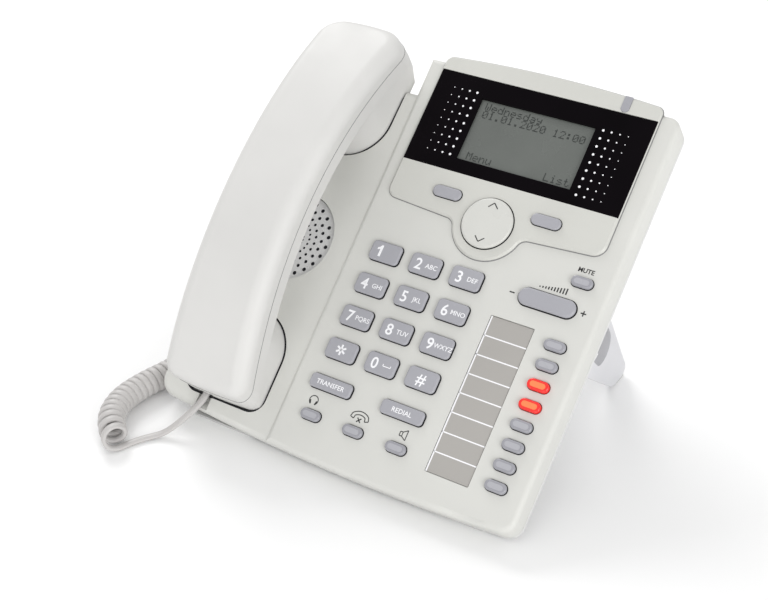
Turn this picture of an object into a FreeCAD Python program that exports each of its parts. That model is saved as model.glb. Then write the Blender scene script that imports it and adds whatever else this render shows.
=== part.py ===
import FreeCAD, Part
import math
import os

# Desk telephone: a wedge-shaped console on a clip-on stand, with a handset lying in a cradle.
# Pieces are drawn in the face frame (u right, v towards the rear edge, h out of the face, origin
# in the middle of the face) and then stood up, so that +Z is up and the desk is z = 0.

V3 = FreeCAD.Vector

# Console
TILT = 40.0            # face angle above the desk
FACE_HEIGHT = 77.0     # middle of the face above the desk
Y_SHIFT = -7.884       # puts the origin in the middle of the footprint
HALF_WIDTH = 96.35
REAR_V = 101.0
CRADLE_REAR_V = 81.4
SPLIT_FRONT_U, SPLIT_REAR_U = -30.0, -33.6   # step between the cradle and the key panel
SEAM_H = -12.0
CRADLE_STEP = 1.0
WALL = 2.4
EDGE_ROUND = 2.6
FRONT_BOW = 1100.0

# Base tub under the rim
RIM_LOW_H = -14.5
SEAM_GAP = 0.3
TUB_HALF_WIDTH = 78.0
TUB_FRONT_V, TUB_REAR_V = -97.0, 97.0
TUB_FRONT_H, TUB_REAR_H = -18.5, -38.0
FOOT_THICKNESS = 1.2
LIP_THICKNESS = 1.3

# Keys
DIAL_U, DIAL_V = -12.0, 0.2
DIAL_PITCH_U, DIAL_PITCH_V = 21.4, 16.8
DIAL_SIZE = (15.8, 9.8, 2.2)
BAR_SIZE = (22.0, 6.8, 2.0)
OVAL_SIZE = (10.4, 5.0, 2.49)
SOFT_SIZE = (14.8, 5.6, 2.79)
KEY_GAP = 0.35
KEY_RISE = 2.0
PROGRAM_U, PROGRAM_V, PROGRAM_PITCH = 82.2, -16.3, 9.5
LED_ROW_V, LED_ROW_PITCH = -83.0, 22.7
NAV_U, NAV_V, NAV_RADIUS = 29.8, 27.8, 12.4
VOLUME_U, VOLUME_V = 71.0, 1.2
VOLUME_SIZE = (27.8, 8.4, 4.19)
PIVOT_RADIUS, PIVOT_H = 0.9, -3.5    # pins that the two rocker keys turn on
BOARD_TOP_H = -7.0

# Display
WINDOW = (-24.5, 86.4, 47.5, 96.3)
LCD_VIEW = (1.2, 60.0, 54.4, 86.2)
HOOD_RISE = 1.6
HOOD_LEFT_U, HOOD_RIGHT_U = -24.9, 86.9

# Handset and cradle
HANDSET_U = -61.3
EAR_V, MOUTH_V = 62.5, -66.0
CUP_RADIUS = 21.2
CUP_LOW_H = -6.0
RECESS_H = -6.5
CUP_GAP = 1.0
PLUG_U, PLUG_H = -69.0, -0.4                  # cord socket in the mouth end
MICROPHONE_U = -55.3
SEAT_TOP_H, SEAT_TOP_RADIUS = 35.0, 203.0     # arched joint between the two handset shells
BACK_TOP_H, BACK_TOP_RADIUS = 46.0, 204.0
GRIP_DEPTH = 7.0
ARCH_V = 5.0
SHELL = 2.2
GRILLE_U, GRILLE_V, GRILLE_RADIUS, GRILLE_H = -64.5, -5.2, 22.8, -3.2
SCOOP_H = -3.8         # lowest point of the scoop under the grip

# Stand
STAND_U, STAND_WALL = 84.6, 4.0

# Handset cord: a coil with a plain lead at each end
CORD_DIAMETER = 3.4
COIL_DIAMETER = 13.8
COIL_ROUTE = [(-90.0, -118.9, 7), (-103.4, -110.1, 7), (-110.9, -95.0, 7), (-109.9, -79.0, 7), (-105.2, -63.0, 7),
              (-101.2, -46.0, 7), (-97.4, -17.0, 7), (-96.2, 16.0, 7), (-96.5, 39.0, 7), (-97.3, 59.4, 7)]
TAIL_ROUTE = [(-69.0, -76.226, 19.132), (-69.1, -79.635, 16.272), (-70.4, -84.6, 13.8), (-72.6, -88.35, 10.8),
              (-76.4, -92.6, 6.6), (-80.8, -97.0, 2.7), (-86.0, -102.2, 1.8), (-90.4, -108.9, 1.8),
              (-93.2, -115.8, 1.8)]
LEAD_ROUTE = [(-82.5, -18.91, 43.47), (-90.5, -19.1, 42.9), (-98.5, -17.5, 39.0), (-104.6, -12.5, 31.5),
              (-107.6, -4.5, 22.5), (-108.6, 5.5, 13.5), (-108.9, 16.0, 6.0), (-109.3, 27.0, 2.1),
              (-109.4, 37.5, 1.8), (-108.2, 46.8, 1.8), (-104.5, 53.5, 1.8), (-97.6, 56.3, 1.8)]

nodes = {}
cords = {}


# ---------------------------------------------------------------- drawing helpers

def corner_arc(before, corner, after, radius):
    """Start, middle and end of the arc that rounds a corner."""
    a = (before - corner).normalize()
    b = (after - corner).normalize()
    half = a.getAngle(b) / 2
    reach = radius / math.tan(half)
    centre = corner + (a + b).normalize() * (radius / math.sin(half))
    middle = centre + (corner - centre).normalize() * radius
    return corner + a * reach, middle, corner + b * reach


def outline(points):
    """Closed wire through (u, v, radius) corners in the plane h = 0."""
    corners = [V3(p[0], p[1], 0) for p in points]
    radii = [p[2] if len(p) > 2 else 0 for p in points]
    arcs = []
    count = len(corners)
    for i in range(count):
        if radii[i] > 0:
            arcs.append(corner_arc(corners[i - 1], corners[i], corners[(i + 1) % count], radii[i]))
        else:
            arcs.append((corners[i], None, corners[i]))
    edges = []
    for i in range(count):
        start, middle, end = arcs[i]
        if middle is not None:
            edges.append(Part.Arc(start, middle, end).toShape())
        following = arcs[(i + 1) % count][0]
        if (following - end).Length > 1e-6:
            edges.append(Part.LineSegment(end, following).toShape())
    return Part.Wire(edges)


def prism(points, low, high):
    """Upright prism of an outline, between two heights."""
    face = Part.Face(outline(points))
    face.translate(V3(0, 0, low))
    return face.extrude(V3(0, 0, high - low))


def side_prism(points, left, right):
    """Prism along u of an outline given as (v, h, radius)."""
    solid = prism(points, left, right)
    solid.rotate(V3(0, 0, 0), V3(1, 1, 1), 120)
    return solid


def rectangle(u, v, length, width, radius):
    a, b = length / 2, width / 2
    return [(u - a, v - b, radius), (u + a, v - b, radius), (u + a, v + b, radius), (u - a, v + b, radius)]


def block(u0, u1, v0, v1, h0, h1):
    return Part.makeBox(u1 - u0, v1 - v0, h1 - h0, V3(u0, v0, h0))


def disc(u, v, radius, low, high):
    return Part.makeCylinder(radius, high - low, V3(u, v, low))


def edges_at(solid, height):
    """The edges that lie at one height."""
    return [edge for edge in solid.Edges
            if abs(edge.BoundBox.ZMin - height) < 1e-4 and abs(edge.BoundBox.ZMax - height) < 1e-4]


def round_top(solid, radius, height):
    return solid.makeFillet(radius, edges_at(solid, height))


def fuse(shapes):
    result = shapes[0]
    for shape in shapes[1:]:
        result = result.fuse(shape)
    return result.removeSplitter()


def add(name, shape):
    nodes[name] = shape


# ---------------------------------------------------------------- console outlines

def console_outline(inset=0.0, rear=REAR_V):
    w = HALF_WIDTH - inset
    return [(-w, rear - inset, 6.0 - inset), (w, rear - inset, 6.0 - inset), (w, -99.8 + inset, 7.0 - inset),
            (10.0, -105.2 + inset, FRONT_BOW), (-w, -97.6 + inset, 9.0 - inset)]


def split_region(side, gap=0.0):
    """Plan area of the key panel (side 1) or of the cradle (side -1)."""
    far = 200.0 * side
    front, rear = SPLIT_FRONT_U + gap, SPLIT_REAR_U + gap
    return [(front, -120.0), (rear, 120.0), (far, 120.0), (far, -120.0)]


def console_slab(inset, low, panel_top, cradle_top):
    """Key panel and cradle as two slabs that meet along the step."""
    panel = prism(console_outline(inset), low, panel_top)
    panel = panel.common(prism(split_region(1, inset), low, panel_top))
    cradle = prism(console_outline(inset, CRADLE_REAR_V), low, cradle_top)
    cradle = cradle.common(prism(split_region(-1, 3.0), low, cradle_top))
    return panel, cradle


def cup_outline(centre_v, end, gap=0.0):
    """Plan of an ear or mouth cup: round towards the grip, straight sides towards the end."""
    r = CUP_RADIUS + gap
    towards = 1 if centre_v > 0 else -1
    corner = 7.0 + gap
    points = [(HANDSET_U - r, centre_v - towards * r, r - 0.01), (HANDSET_U + r, centre_v - towards * r, r - 0.01),
              (HANDSET_U + r + 0.6, end, corner), (HANDSET_U - r - 0.6, end, corner)]
    return points


# ---------------------------------------------------------------- keys

def key_positions():
    """Name, centre and (length, width, corner radius) of every push key."""
    keys = []
    names = ["1", "2", "3", "4", "5", "6", "7", "8", "9", "star", "0", "hash"]
    for i, name in enumerate(names):
        u = DIAL_U + DIAL_PITCH_U * (i % 3)
        v = DIAL_V - DIAL_PITCH_V * (i // 3)
        keys.append(("key_" + name, u, v, DIAL_SIZE))
    keys.append(("transfer_key", -9.6, -67.1, BAR_SIZE))
    keys.append(("redial_key", 28.4, -67.1, BAR_SIZE))
    for i, name in enumerate(["headset_key", "cancel_key", "speaker_key"]):
        keys.append((name, DIAL_U - 1.2 + LED_ROW_PITCH * i, LED_ROW_V, OVAL_SIZE))
    keys.append(("mute_key", 82.5, 14.7, OVAL_SIZE))
    for i in range(8):
        keys.append(("program_key_%d" % (i + 1), PROGRAM_U, PROGRAM_V - PROGRAM_PITCH * i, OVAL_SIZE))
    keys.append(("soft_key_left", 5.0, 36.5, SOFT_SIZE))
    keys.append(("soft_key_right", 56.1, 36.4, SOFT_SIZE))
    return keys


def grown(size, by):
    return size[0] + 2 * by, size[1] + 2 * by, size[2] + by


def push_key(u, v, size, top):
    """Cap with rounded top edges and a wider flange under the cover."""
    cap = round_top(prism(rectangle(u, v, *size), -4.0, top), 0.9, top)
    flange = prism(rectangle(u, v, *grown(size, 0.9)), -4.2, -2.8)
    return cap.fuse(flange).removeSplitter()


KEYS = key_positions()
HOODED = ("soft_key_left", "soft_key_right")


def build_keys():
    for name, u, v, size in KEYS:
        top = HOOD_RISE + 1.4 if name in HOODED else KEY_RISE
        add(name, push_key(u, v, size, top))
    nav = round_top(disc(NAV_U, NAV_V, NAV_RADIUS, -3.6, HOOD_RISE + 1.6), 1.2, HOOD_RISE + 1.6)
    pin = Part.makeCylinder(PIVOT_RADIUS, 26.8, V3(NAV_U - 13.4, NAV_V, PIVOT_H), V3(1, 0, 0))
    nav = nav.fuse(pin)
    add("nav_rocker", nav.removeSplitter())
    rocker = round_top(prism(rectangle(VOLUME_U, VOLUME_V, *VOLUME_SIZE), -3.6, KEY_RISE), 1.2, KEY_RISE)
    pin = Part.makeCylinder(PIVOT_RADIUS, 10.8, V3(VOLUME_U, VOLUME_V - 5.4, PIVOT_H), V3(0, 1, 0))
    rocker = rocker.fuse(pin)
    add("volume_rocker", rocker.removeSplitter())


def key_openings():
    cuts = [prism(rectangle(u, v, *grown(size, KEY_GAP)), -6.0, 6.0) for _, u, v, size in KEYS]
    cuts.append(disc(NAV_U, NAV_V, NAV_RADIUS + 0.5, -6.0, 6.0))
    cuts.append(prism(rectangle(VOLUME_U, VOLUME_V, *grown(VOLUME_SIZE, 0.5)), -6.0, 6.0))
    return Part.makeCompound(cuts)


# ---------------------------------------------------------------- housings

def hook_opening(gap):
    return prism(rectangle(HANDSET_U, 60.0, 9.0 + 2 * gap, 5.0 + 2 * gap, 1.2), -14.0, 4.0)


def build_top_cover():
    panel, cradle = console_slab(0.0, SEAM_H, 0.0, -CRADLE_STEP)
    panel = round_top(panel, EDGE_ROUND, 0.0)
    cradle = round_top(cradle, EDGE_ROUND, -CRADLE_STEP)
    cover = fuse([panel, cradle])
    inner_panel, inner_cradle = console_slab(WALL, SEAM_H - 1, -WALL, -CRADLE_STEP - WALL)
    cavity = fuse([inner_panel, inner_cradle])
    seat_floor = RECESS_H - 2.2
    seats = [prism(cup_outline(EAR_V, 95.0, CUP_GAP + 2.2), seat_floor, 0),
             prism(cup_outline(MOUTH_V, -94.8, CUP_GAP + 2.2), seat_floor, 0),
             disc(GRILLE_U, GRILLE_V, GRILLE_RADIUS + 2.0, GRILLE_H - 4.4, 0),
             block(-91.0, -37.0, -60.0, 50.0, SCOOP_H - 2.2, 0),
             block(PLUG_U - 6.5, PLUG_U + 5.5, -97.5, -90.0, -5.8, 0)]
    cavity = cavity.cut(Part.makeCompound(seats))
    cover = cover.cut(cavity)
    # The cradle is a shallow scoop between two deeper cups.
    sweep, across = 410.0, 190.0
    scoop = Part.makeTorus(sweep, across, V3(-63.0, -3.0, sweep + across + SCOOP_H), V3(1, 0, 0))
    scoop = scoop.common(block(-94.0, -33.5, -70.0, 64.0, -8.0, 1.0))
    cups = [prism(cup_outline(EAR_V, 112.0, CUP_GAP), RECESS_H, 5.0),
            prism(cup_outline(MOUTH_V, -91.5 - CUP_GAP, CUP_GAP), RECESS_H, 5.0)]
    cuts = [scoop, key_openings(), hook_opening(0.3),
            disc(GRILLE_U, GRILLE_V, GRILLE_RADIUS + 0.1, GRILLE_H - 2.0, 5.0),
            disc(GRILLE_U, GRILLE_V, GRILLE_RADIUS - 2.0, GRILLE_H - 6.0, 5.0),
            side_prism([(-91.0, -3.4), (-94.8, -3.4), (-101.0, -0.7), (-91.0, 0.5)],
                       PLUG_U - 4.0, PLUG_U + 3.0)] + cups
    u0, u1, v0, v1 = LCD_VIEW
    cuts.append(block(u0 - 4, u1 + 4, v0 - 4, v1 + 4, -6.0, 5.0))
    cuts.append(prism(rectangle(59.5, -49.6, 21.8, 75.8, 0.6), -1.3, 5.0))
    for shape in cuts:
        cover = cover.cut(shape)
    bosses = [disc(u, v, 3.6, SEAM_H, -WALL + 0.2 if u > SPLIT_FRONT_U else -CRADLE_STEP - WALL + 0.2)
              for u, v in screw_places()]
    bosses += [disc(u, v, 3.2, BOARD_TOP_H, -WALL) for u, v in board_posts()]
    holes = [disc(u, v, 1.35, SEAM_H, SEAM_H + 7.0) for u, v in screw_places()]
    holes += [disc(u, v, 1.1, BOARD_TOP_H, BOARD_TOP_H + 3.6) for u, v in board_posts()]
    cover = cover.fuse(bosses).removeSplitter().cut(Part.makeCompound(holes))
    add("top_cover", cover)


def board_posts():
    return [(-20.0, -92.0), (72.0, -92.0), (-20.0, 20.0), (48.0, 8.0), (-18.0, 42.0), (84.0, 42.0)]


def screw_places():
    return [(-88.0, -88.0), (88.0, -92.5), (-88.0, 70.0), (88.0, 92.0)]


def tub_profile(inset):
    """(v, h) outline of the wedge under the rim."""
    slope = (TUB_REAR_H - TUB_FRONT_H) / (TUB_REAR_V - TUB_FRONT_V)
    front, rear = TUB_FRONT_V + inset, TUB_REAR_V - inset
    top = SEAM_H - SEAM_GAP + (2.0 if inset else 0.0)
    low_front = TUB_FRONT_H + slope * inset + inset
    low_rear = TUB_REAR_H - slope * inset + inset
    return [(front, top), (front, low_front), (rear, low_rear), (rear, top)]


def tub_block(inset):
    """The wedge, stepped in behind the cradle."""
    half_width = TUB_HALF_WIDTH - inset
    tub = side_prism(tub_profile(inset), -half_width, half_width)
    return tub.cut(block(-120, SPLIT_REAR_U - 3.0 + inset, CRADLE_REAR_V - 2.0 - inset, 120, -60, 10))


def below_desk_line(height):
    """Everything lower than a height above the desk, drawn in the face frame."""
    slab = Part.makeBox(400, 400, 200, V3(-200, -200, height - 200))
    slab.translate(V3(0, 0, -FACE_HEIGHT))
    slab.rotate(V3(0, 0, 0), V3(1, 0, 0), -TILT)
    return slab


def port_places():
    """Name, centre u, width and height of the sockets in the rear wall."""
    return [("lan_port", -14.0, 16.0, 13.6), ("pc_port", 8.0, 16.0, 13.6), ("power_inlet", 28.0, 9.4, 11.0)]


PORT_LOW_H = -30.0
JACK_V, JACK_H = -30.0, -18.6


def build_base():
    rim_top = SEAM_H - SEAM_GAP
    panel, cradle = console_slab(0.0, RIM_LOW_H, rim_top, rim_top)
    rim = panel.fuse(cradle)
    base = rim.fuse(tub_block(0.0)).removeSplitter().cut(tub_block(2.3))
    outer_panel, outer_cradle = console_slab(WALL + 0.2, rim_top, SEAM_H + 2.4, SEAM_H + 2.4)
    inset = WALL + 0.2 + LIP_THICKNESS
    inner_panel, inner_cradle = console_slab(inset, rim_top - 0.1, SEAM_H + 3, SEAM_H + 3)
    lip = fuse([outer_panel, outer_cradle]).cut(fuse([inner_panel, inner_cradle]))
    base = base.fuse(lip).removeSplitter()
    base = base.cut(below_desk_line(FOOT_THICKNESS))
    for u, v in screw_places():
        base = base.cut(disc(u, v, 4.2, rim_top, SEAM_H + 4))
        base = base.cut(disc(u, v, 1.7, RIM_LOW_H - 8, SEAM_H + 4))
    for _, u, width, height in port_places():
        base = base.cut(block(u - width / 2 - 0.1, u + width / 2 + 0.1, 90.0, 110.0,
                              PORT_LOW_H - 0.1, PORT_LOW_H + height + 0.1))
    base = base.cut(block(-85.0, -66.0, JACK_V - 5.7, JACK_V + 5.7, JACK_H - 4.1, JACK_H + 4.1))
    add("base_cover", base)


def build_screws():
    screws = []
    for u, v in screw_places():
        shank = disc(u, v, 1.3, RIM_LOW_H - 0.2, SEAM_H + 6.0)
        head = disc(u, v, 2.9, RIM_LOW_H - 2.2, RIM_LOW_H - 0.05)
        slot = block(u - 2.0, u + 2.0, v - 0.4, v + 0.4, RIM_LOW_H - 2.3, RIM_LOW_H - 1.2)
        slot = slot.fuse(block(u - 0.4, u + 0.4, v - 2.0, v + 2.0, RIM_LOW_H - 2.3, RIM_LOW_H - 1.2))
        screws.append(shank.fuse(head).cut(slot).removeSplitter())
    for u, v in board_posts():
        screw = disc(u, v, 1.05, BOARD_TOP_H - 2.0, BOARD_TOP_H + 3.4)
        screws.append(screw.fuse(disc(u, v, 2.6, BOARD_TOP_H - 3.2, BOARD_TOP_H - 1.65)).removeSplitter())
    add("screws", Part.makeCompound(screws))


# ---------------------------------------------------------------- display

def hood_outline():
    """Plan of the raised panel round the display, without its swelling round the rocker key."""
    middle = (HOOD_LEFT_U + HOOD_RIGHT_U) / 2
    return [(HOOD_LEFT_U, 103.4, 3.5), (HOOD_LEFT_U, 27.9, 5.0), (middle, 24.2), (HOOD_RIGHT_U, 28.2, 6.0),
            (HOOD_RIGHT_U, 103.4, 3.5), (middle, 107.6, 650.0)]


def build_hood():
    """Raised panel that also wraps down over the rear edge of the cover."""
    hood = prism(hood_outline(), SEAM_H + 0.4, HOOD_RISE)
    hood = hood.fuse(disc(NAV_U + 0.4, NAV_V, 17.6, SEAM_H + 0.4, HOOD_RISE)).removeSplitter()
    inner_corners = [e for e in hood.Edges if e.BoundBox.ZLength > 5.0 and e.BoundBox.YMax < 27.0]
    hood = hood.makeFillet(5.0, inner_corners)
    hood = hood.makeChamfer(0.9, edges_at(hood, HOOD_RISE))
    hood = hood.cut(block(-120, 120, 0, REAR_V + 0.1, -20, 0.02))
    u0, u1, v0, v1 = WINDOW
    hood = hood.cut(block(u0 - 0.1, u1 + 0.1, v0 - 0.1, v1 + 0.1, -1.0, 5.0))
    hood = hood.cut(key_openings())
    hood = hood.cut(lamp_body(0.08))
    add("display_hood", hood)
    window = block(u0, u1, v0, v1, 0.02, HOOD_RISE - 0.2)
    add("display_window", window)


def lamp_body(gap=0.0):
    return prism(rectangle(69.5, 101.2, 4.0 + 2 * gap, 9.0 + 2 * gap, 1.95 + gap), -1.6, HOOD_RISE + 0.3)


def build_display():
    u0, u1, v0, v1 = LCD_VIEW
    glass = block(u0 - 3.6, u1 + 3.6, v0 - 3.6, v1 + 3.6, -3.4, -0.25)
    frame = block(u0 - 8, u1 + 8, v0 - 7, v1 + 7, -5.6, -2.5)
    add("lcd_module", glass.fuse(frame).removeSplitter())
    lamp = lamp_body().common(block(60, 80, 90, 104.6, -0.9, HOOD_RISE + 0.25))
    add("message_lamp_lens", lamp.cut(block(60, 80, 90, 101.08, -2, 0.02)))


def build_labels():
    card = prism(rectangle(59.5, -49.6, 21.2, 75.2, 0.4), -1.28, -0.9)
    add("label_card", card)
    cover = prism(rectangle(59.5, -49.6, 21.4, 75.4, 0.5), -0.88, -0.3)
    bars = [block(48.9, 70.1, -49.6 + 9.4 * k - 0.3, -49.6 + 9.4 * k + 0.3, -0.4, 0.0) for k in range(-3, 4)]
    add("label_cover", cover.fuse(bars).removeSplitter())


# ---------------------------------------------------------------- inside the console

def build_boards():
    mat = prism(rectangle(31.0, -26.0, 114.0, 138.0, 3.0), -6.8, -5.6)
    clearances = [disc(u, v, 3.6, -8.0, -4.0) for u, v in board_posts()]
    bosses = [disc(u, v, 4.4, -10.0, -4.0) for u, v in screw_places()]
    mat = mat.cut(Part.makeCompound(clearances)).cut(Part.makeCompound(bosses))
    add("keypad_mat", mat)
    board = prism(rectangle(31.0, -24.0, 118.0, 144.0, 3.0), BOARD_TOP_H - 1.6, BOARD_TOP_H)
    holes = [disc(u, v, 1.4, -9.0, -6.0) for u, v in board_posts()]
    board = board.cut(Part.makeCompound(holes)).cut(Part.makeCompound(bosses))
    add("main_board", board)
    io_board = prism(rectangle(8.0, 79.0, 76.0, 30.0, 1.0), PORT_LOW_H - 1.8, PORT_LOW_H - 0.2)
    add("network_board", io_board)


def build_ports():
    """Network sockets and power inlet on the small board, and the handset socket in the side."""
    sockets = []
    for name, u, width, height in port_places():
        body = block(u - width / 2, u + width / 2, 76.0, 97.4, PORT_LOW_H, PORT_LOW_H + height)
        if name == "power_inlet":
            hole = Part.makeCylinder(3.1, 10.0, V3(u, 88.0, PORT_LOW_H + 5.6), V3(0, 1, 0))
            pin = Part.makeCylinder(1.0, 9.0, V3(u, 87.5, PORT_LOW_H + 5.6), V3(0, 1, 0))
            add(name, body.cut(hole).fuse(pin).removeSplitter())
            continue
        socket = block(u - 5.9, u + 5.9, 84.0, 98.0, PORT_LOW_H + 2.2, PORT_LOW_H + 9.0)
        latch = block(u - 3.1, u + 3.1, 84.0, 98.0, PORT_LOW_H + 8.9, PORT_LOW_H + 11.4)
        sockets.append(body.cut(socket).cut(latch).removeSplitter())
    jack = block(-78.4, -66.2, JACK_V - 5.5, JACK_V + 5.5, JACK_H - 4.0, JACK_H + 4.0)
    sockets.append(jack.cut(block(-79.0, -67.6, JACK_V - 4.0, JACK_V + 4.0, JACK_H - 3.2, JACK_H + 3.2)))
    add("sockets", Part.makeCompound(sockets))


def build_speaker():
    u, v = GRILLE_U, GRILLE_V
    plate = round_top(disc(u, v, GRILLE_RADIUS, GRILLE_H - 1.9, GRILLE_H), 0.8, GRILLE_H)
    holes = []
    for ring in range(5):
        radius = 19.3 - 3.3 * ring
        size = 1.0 - 0.12 * ring
        for k in range(24):
            angle = math.radians(15.0 * (k + 0.5 * (ring % 2)))
            holes.append(disc(u + radius * math.cos(angle), v + radius * math.sin(angle), size, -8.0, 0.0))
    add("speaker_grille", plate.cut(Part.makeCompound(holes)))
    cone = Part.makeCone(9.0, 14.0, 4.6, V3(u, v, -12.4))
    rim = disc(u, v, GRILLE_RADIUS - 2.4, -8.2, -6.0)
    magnet = disc(u, v, 9.6, -15.6, -12.4)
    add("loudspeaker", fuse([cone, rim, magnet]))


def build_hook_switch():
    plunger = prism(rectangle(HANDSET_U, 60.0, 9.0, 5.0, 1.2), -17.0, -6.9)
    flange = prism(rectangle(HANDSET_U, 60.0, 12.0, 8.0, 1.2), -12.8, -11.4)
    add("hook_plunger", plunger.fuse(flange).removeSplitter())
    base = block(HANDSET_U - 6.5, HANDSET_U + 6.5, 56.5, 63.5, -31.4, -20.0)
    actuator = block(HANDSET_U - 1.5, HANDSET_U + 1.5, 58.5, 61.5, -20.0, -17.2)
    add("hook_microswitch", base.fuse(actuator).removeSplitter())


# ---------------------------------------------------------------- handset

def handset_plan(inset=0.0):
    w, waist = 23.4 - inset, 19.8 - inset
    rear, front = 99.4 - inset, -90.6 + inset
    ear_corner, mouth_corner = 13.0 - inset, 8.0 - inset
    return [(HANDSET_U - w, rear, ear_corner), (HANDSET_U, rear + 1.8, 110.0), (HANDSET_U + w, rear, ear_corner),
            (HANDSET_U + waist, ARCH_V, 1600.0), (HANDSET_U + w, front, mouth_corner),
            (HANDSET_U, front - 1.2, 250.0), (HANDSET_U - w, front, mouth_corner),
            (HANDSET_U - waist, ARCH_V, 1600.0)]


def arch(radius, top):
    """Cylinder across the handset whose highest line is at a height."""
    return Part.makeCylinder(radius, 80.0, V3(HANDSET_U - 40.0, ARCH_V, top - radius), V3(1, 0, 0))


def build_handset():
    under_back = arch(BACK_TOP_RADIUS, BACK_TOP_H)
    seam = arch(SEAT_TOP_RADIUS, SEAT_TOP_H)
    plan = prism(handset_plan(), -6.0, 50.0)
    back = plan.common(under_back)
    edges = [e for e in back.Edges if e.BoundBox.ZMin > 12.0 and e.BoundBox.DiagonalLength > 4.0]
    back = back.makeFillet(7.0, edges)
    inner_back = prism(handset_plan(SHELL), -8.0, 50.0).common(arch(BACK_TOP_RADIUS - SHELL, BACK_TOP_H - SHELL))
    add("handset_back_shell", back.cut(inner_back).cut(seam).removeSplitter())

    grip_low = arch(SEAT_TOP_RADIUS - GRIP_DEPTH, SEAT_TOP_H - GRIP_DEPTH)
    grip = plan.cut(grip_low).common(block(-100, 0, -95, 105, 0, 40))
    ear = prism(cup_outline(EAR_V, 110.0), CUP_LOW_H, 40.0)
    slant = side_prism([(88.0, -7.0), (103.0, 22.0), (120.0, 22.0), (120.0, -7.0)], -100, 0)
    mouth_end = -92.6
    mouth = prism(cup_outline(MOUTH_V, mouth_end), CUP_LOW_H, 40.0)
    front = fuse([grip, ear.common(plan), mouth.common(plan)]).common(seam).cut(slant)
    hollow_plan = prism(handset_plan(SHELL), -8.0, 50.0)
    inner_grip = hollow_plan.cut(arch(SEAT_TOP_RADIUS - GRIP_DEPTH + SHELL, SEAT_TOP_H - GRIP_DEPTH + SHELL))
    inner_grip = inner_grip.common(block(-100, 0, -95, 105, 0, 45))
    inner_slant = slant.translated(V3(0, -SHELL - 0.4, 0))
    inner_ear = prism(cup_outline(EAR_V, 107.0, -SHELL), CUP_LOW_H + SHELL, 45.0)
    inner_ear = inner_ear.common(hollow_plan)
    inner_mouth = prism(cup_outline(MOUTH_V, mouth_end + SHELL, -SHELL), CUP_LOW_H + SHELL, 45.0)
    inner_mouth = inner_mouth.common(hollow_plan)
    front = front.cut(fuse([inner_grip, inner_ear, inner_mouth]).cut(inner_slant))
    sound = [disc(HANDSET_U, 66.0, 1.0, -8, 0)]
    for k in range(6):
        angle = math.radians(60 * k)
        sound.append(disc(HANDSET_U + 5 * math.cos(angle), 66.0 + 5 * math.sin(angle), 1.0, -8, 0))
    for k in range(3):
        sound.append(prism(rectangle(MICROPHONE_U, -74.0 - 3.0 * k, 9.0, 1.2, 0.55), -8, 0))
    front = front.cut(Part.makeCompound(sound))
    front = front.cut(prism(rectangle(PLUG_U, -90.0, 8.6, 12.0, 0.4), PLUG_H - 3.2, PLUG_H + 3.2))
    add("handset_front_shell", front.removeSplitter())

    add("handset_receiver", fuse([disc(HANDSET_U, 66.0, 15.0, -3.6, 1.4), disc(HANDSET_U, 66.0, 9.0, 1.4, 4.4)]))
    add("handset_microphone", disc(MICROPHONE_U, -77.0, 4.8, -3.6, 2.0))
    jack = block(PLUG_U - 5.4, PLUG_U + 5.4, -83.6, -71.5, PLUG_H - 3.3, PLUG_H + 4.2)
    add("handset_jack", jack.cut(block(PLUG_U - 3.9, PLUG_U + 3.9, -85.0, -73.5, PLUG_H - 3.1, PLUG_H + 3.1)))


# ---------------------------------------------------------------- stand and feet

def build_stand():
    """Two side plates on a cross strip that clips under the tub, and a web that joins them."""
    foot = [(7.6, foot_height(7.6), 4.0), (-6.0, foot_height(-6.0), 14.0)]
    side = [(20.5, -16.2, 2.0)] + foot + [(-21.0, -16.2, 2.0)]
    window = [(13.6, -36.0, 3.0), (9.8, -69.5, 9.0), (-5.6, -62.0, 7.0), (-6.6, -34.0, 3.0)]
    plates = []
    for left in (STAND_U - STAND_WALL, -STAND_U):
        plate = side_prism(side[::-1], left, left + STAND_WALL)
        plates.append(plate.cut(side_prism(window, left - 1, left + STAND_WALL + 1)))
    slope = math.degrees(math.atan2(TUB_REAR_H - TUB_FRONT_H, TUB_REAR_V - TUB_FRONT_V))
    middle_h = (TUB_REAR_H + TUB_FRONT_H) / 2
    strip = block(-STAND_U + 1, STAND_U - 1, -16.0, 16.0, -3.0, -0.02)
    strip.rotate(V3(0, 0, 0), V3(1, 0, 0), slope)
    strip.translate(V3(0, 0, middle_h))
    web = side_prism([(17.8, -30.4), (15.2, -30.1), (13.4, -46.0), (15.6, -46.0)], -STAND_U + 1, STAND_U - 1)
    flange = [(15.6, -45.0), (13.6, -45.0), (7.1, -90.0), (9.0, -90.0)]
    inner = STAND_U - STAND_WALL + 0.5
    flanges = [side_prism(flange, -inner, -inner + 9.0), side_prism(flange, inner - 9.0, inner)]
    add("stand", fuse(plates + [strip, web] + flanges))


def foot_height(v):
    """Face-frame height of the line that lies a foot's thickness above the desk."""
    tilt = math.radians(TILT)
    return (FOOT_THICKNESS - FACE_HEIGHT - v * math.sin(tilt)) / math.cos(tilt)


def desk_pad(u, v, length, width):
    """Flat pad that lies on the desk, given by the face-frame place above it."""
    tilt = math.radians(TILT)
    y = v * math.cos(tilt) - foot_height(v) * math.sin(tilt)
    pad = prism(rectangle(u, y, length, width, min(length, width) * 0.3), -FACE_HEIGHT,
                -FACE_HEIGHT + FOOT_THICKNESS)
    pad.rotate(V3(0, 0, 0), V3(1, 0, 0), -TILT)
    return pad


def build_feet():
    middle = STAND_U - STAND_WALL / 2
    pads = [desk_pad(u, -98.6, 34.0, 5.4) for u in (-62.0, 62.0)]
    pads += [desk_pad(u, 1.6, STAND_WALL - 0.4, 9.0) for u in (-middle, middle)]
    add("rubber_feet", Part.makeCompound(pads))


# ---------------------------------------------------------------- cord

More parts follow.
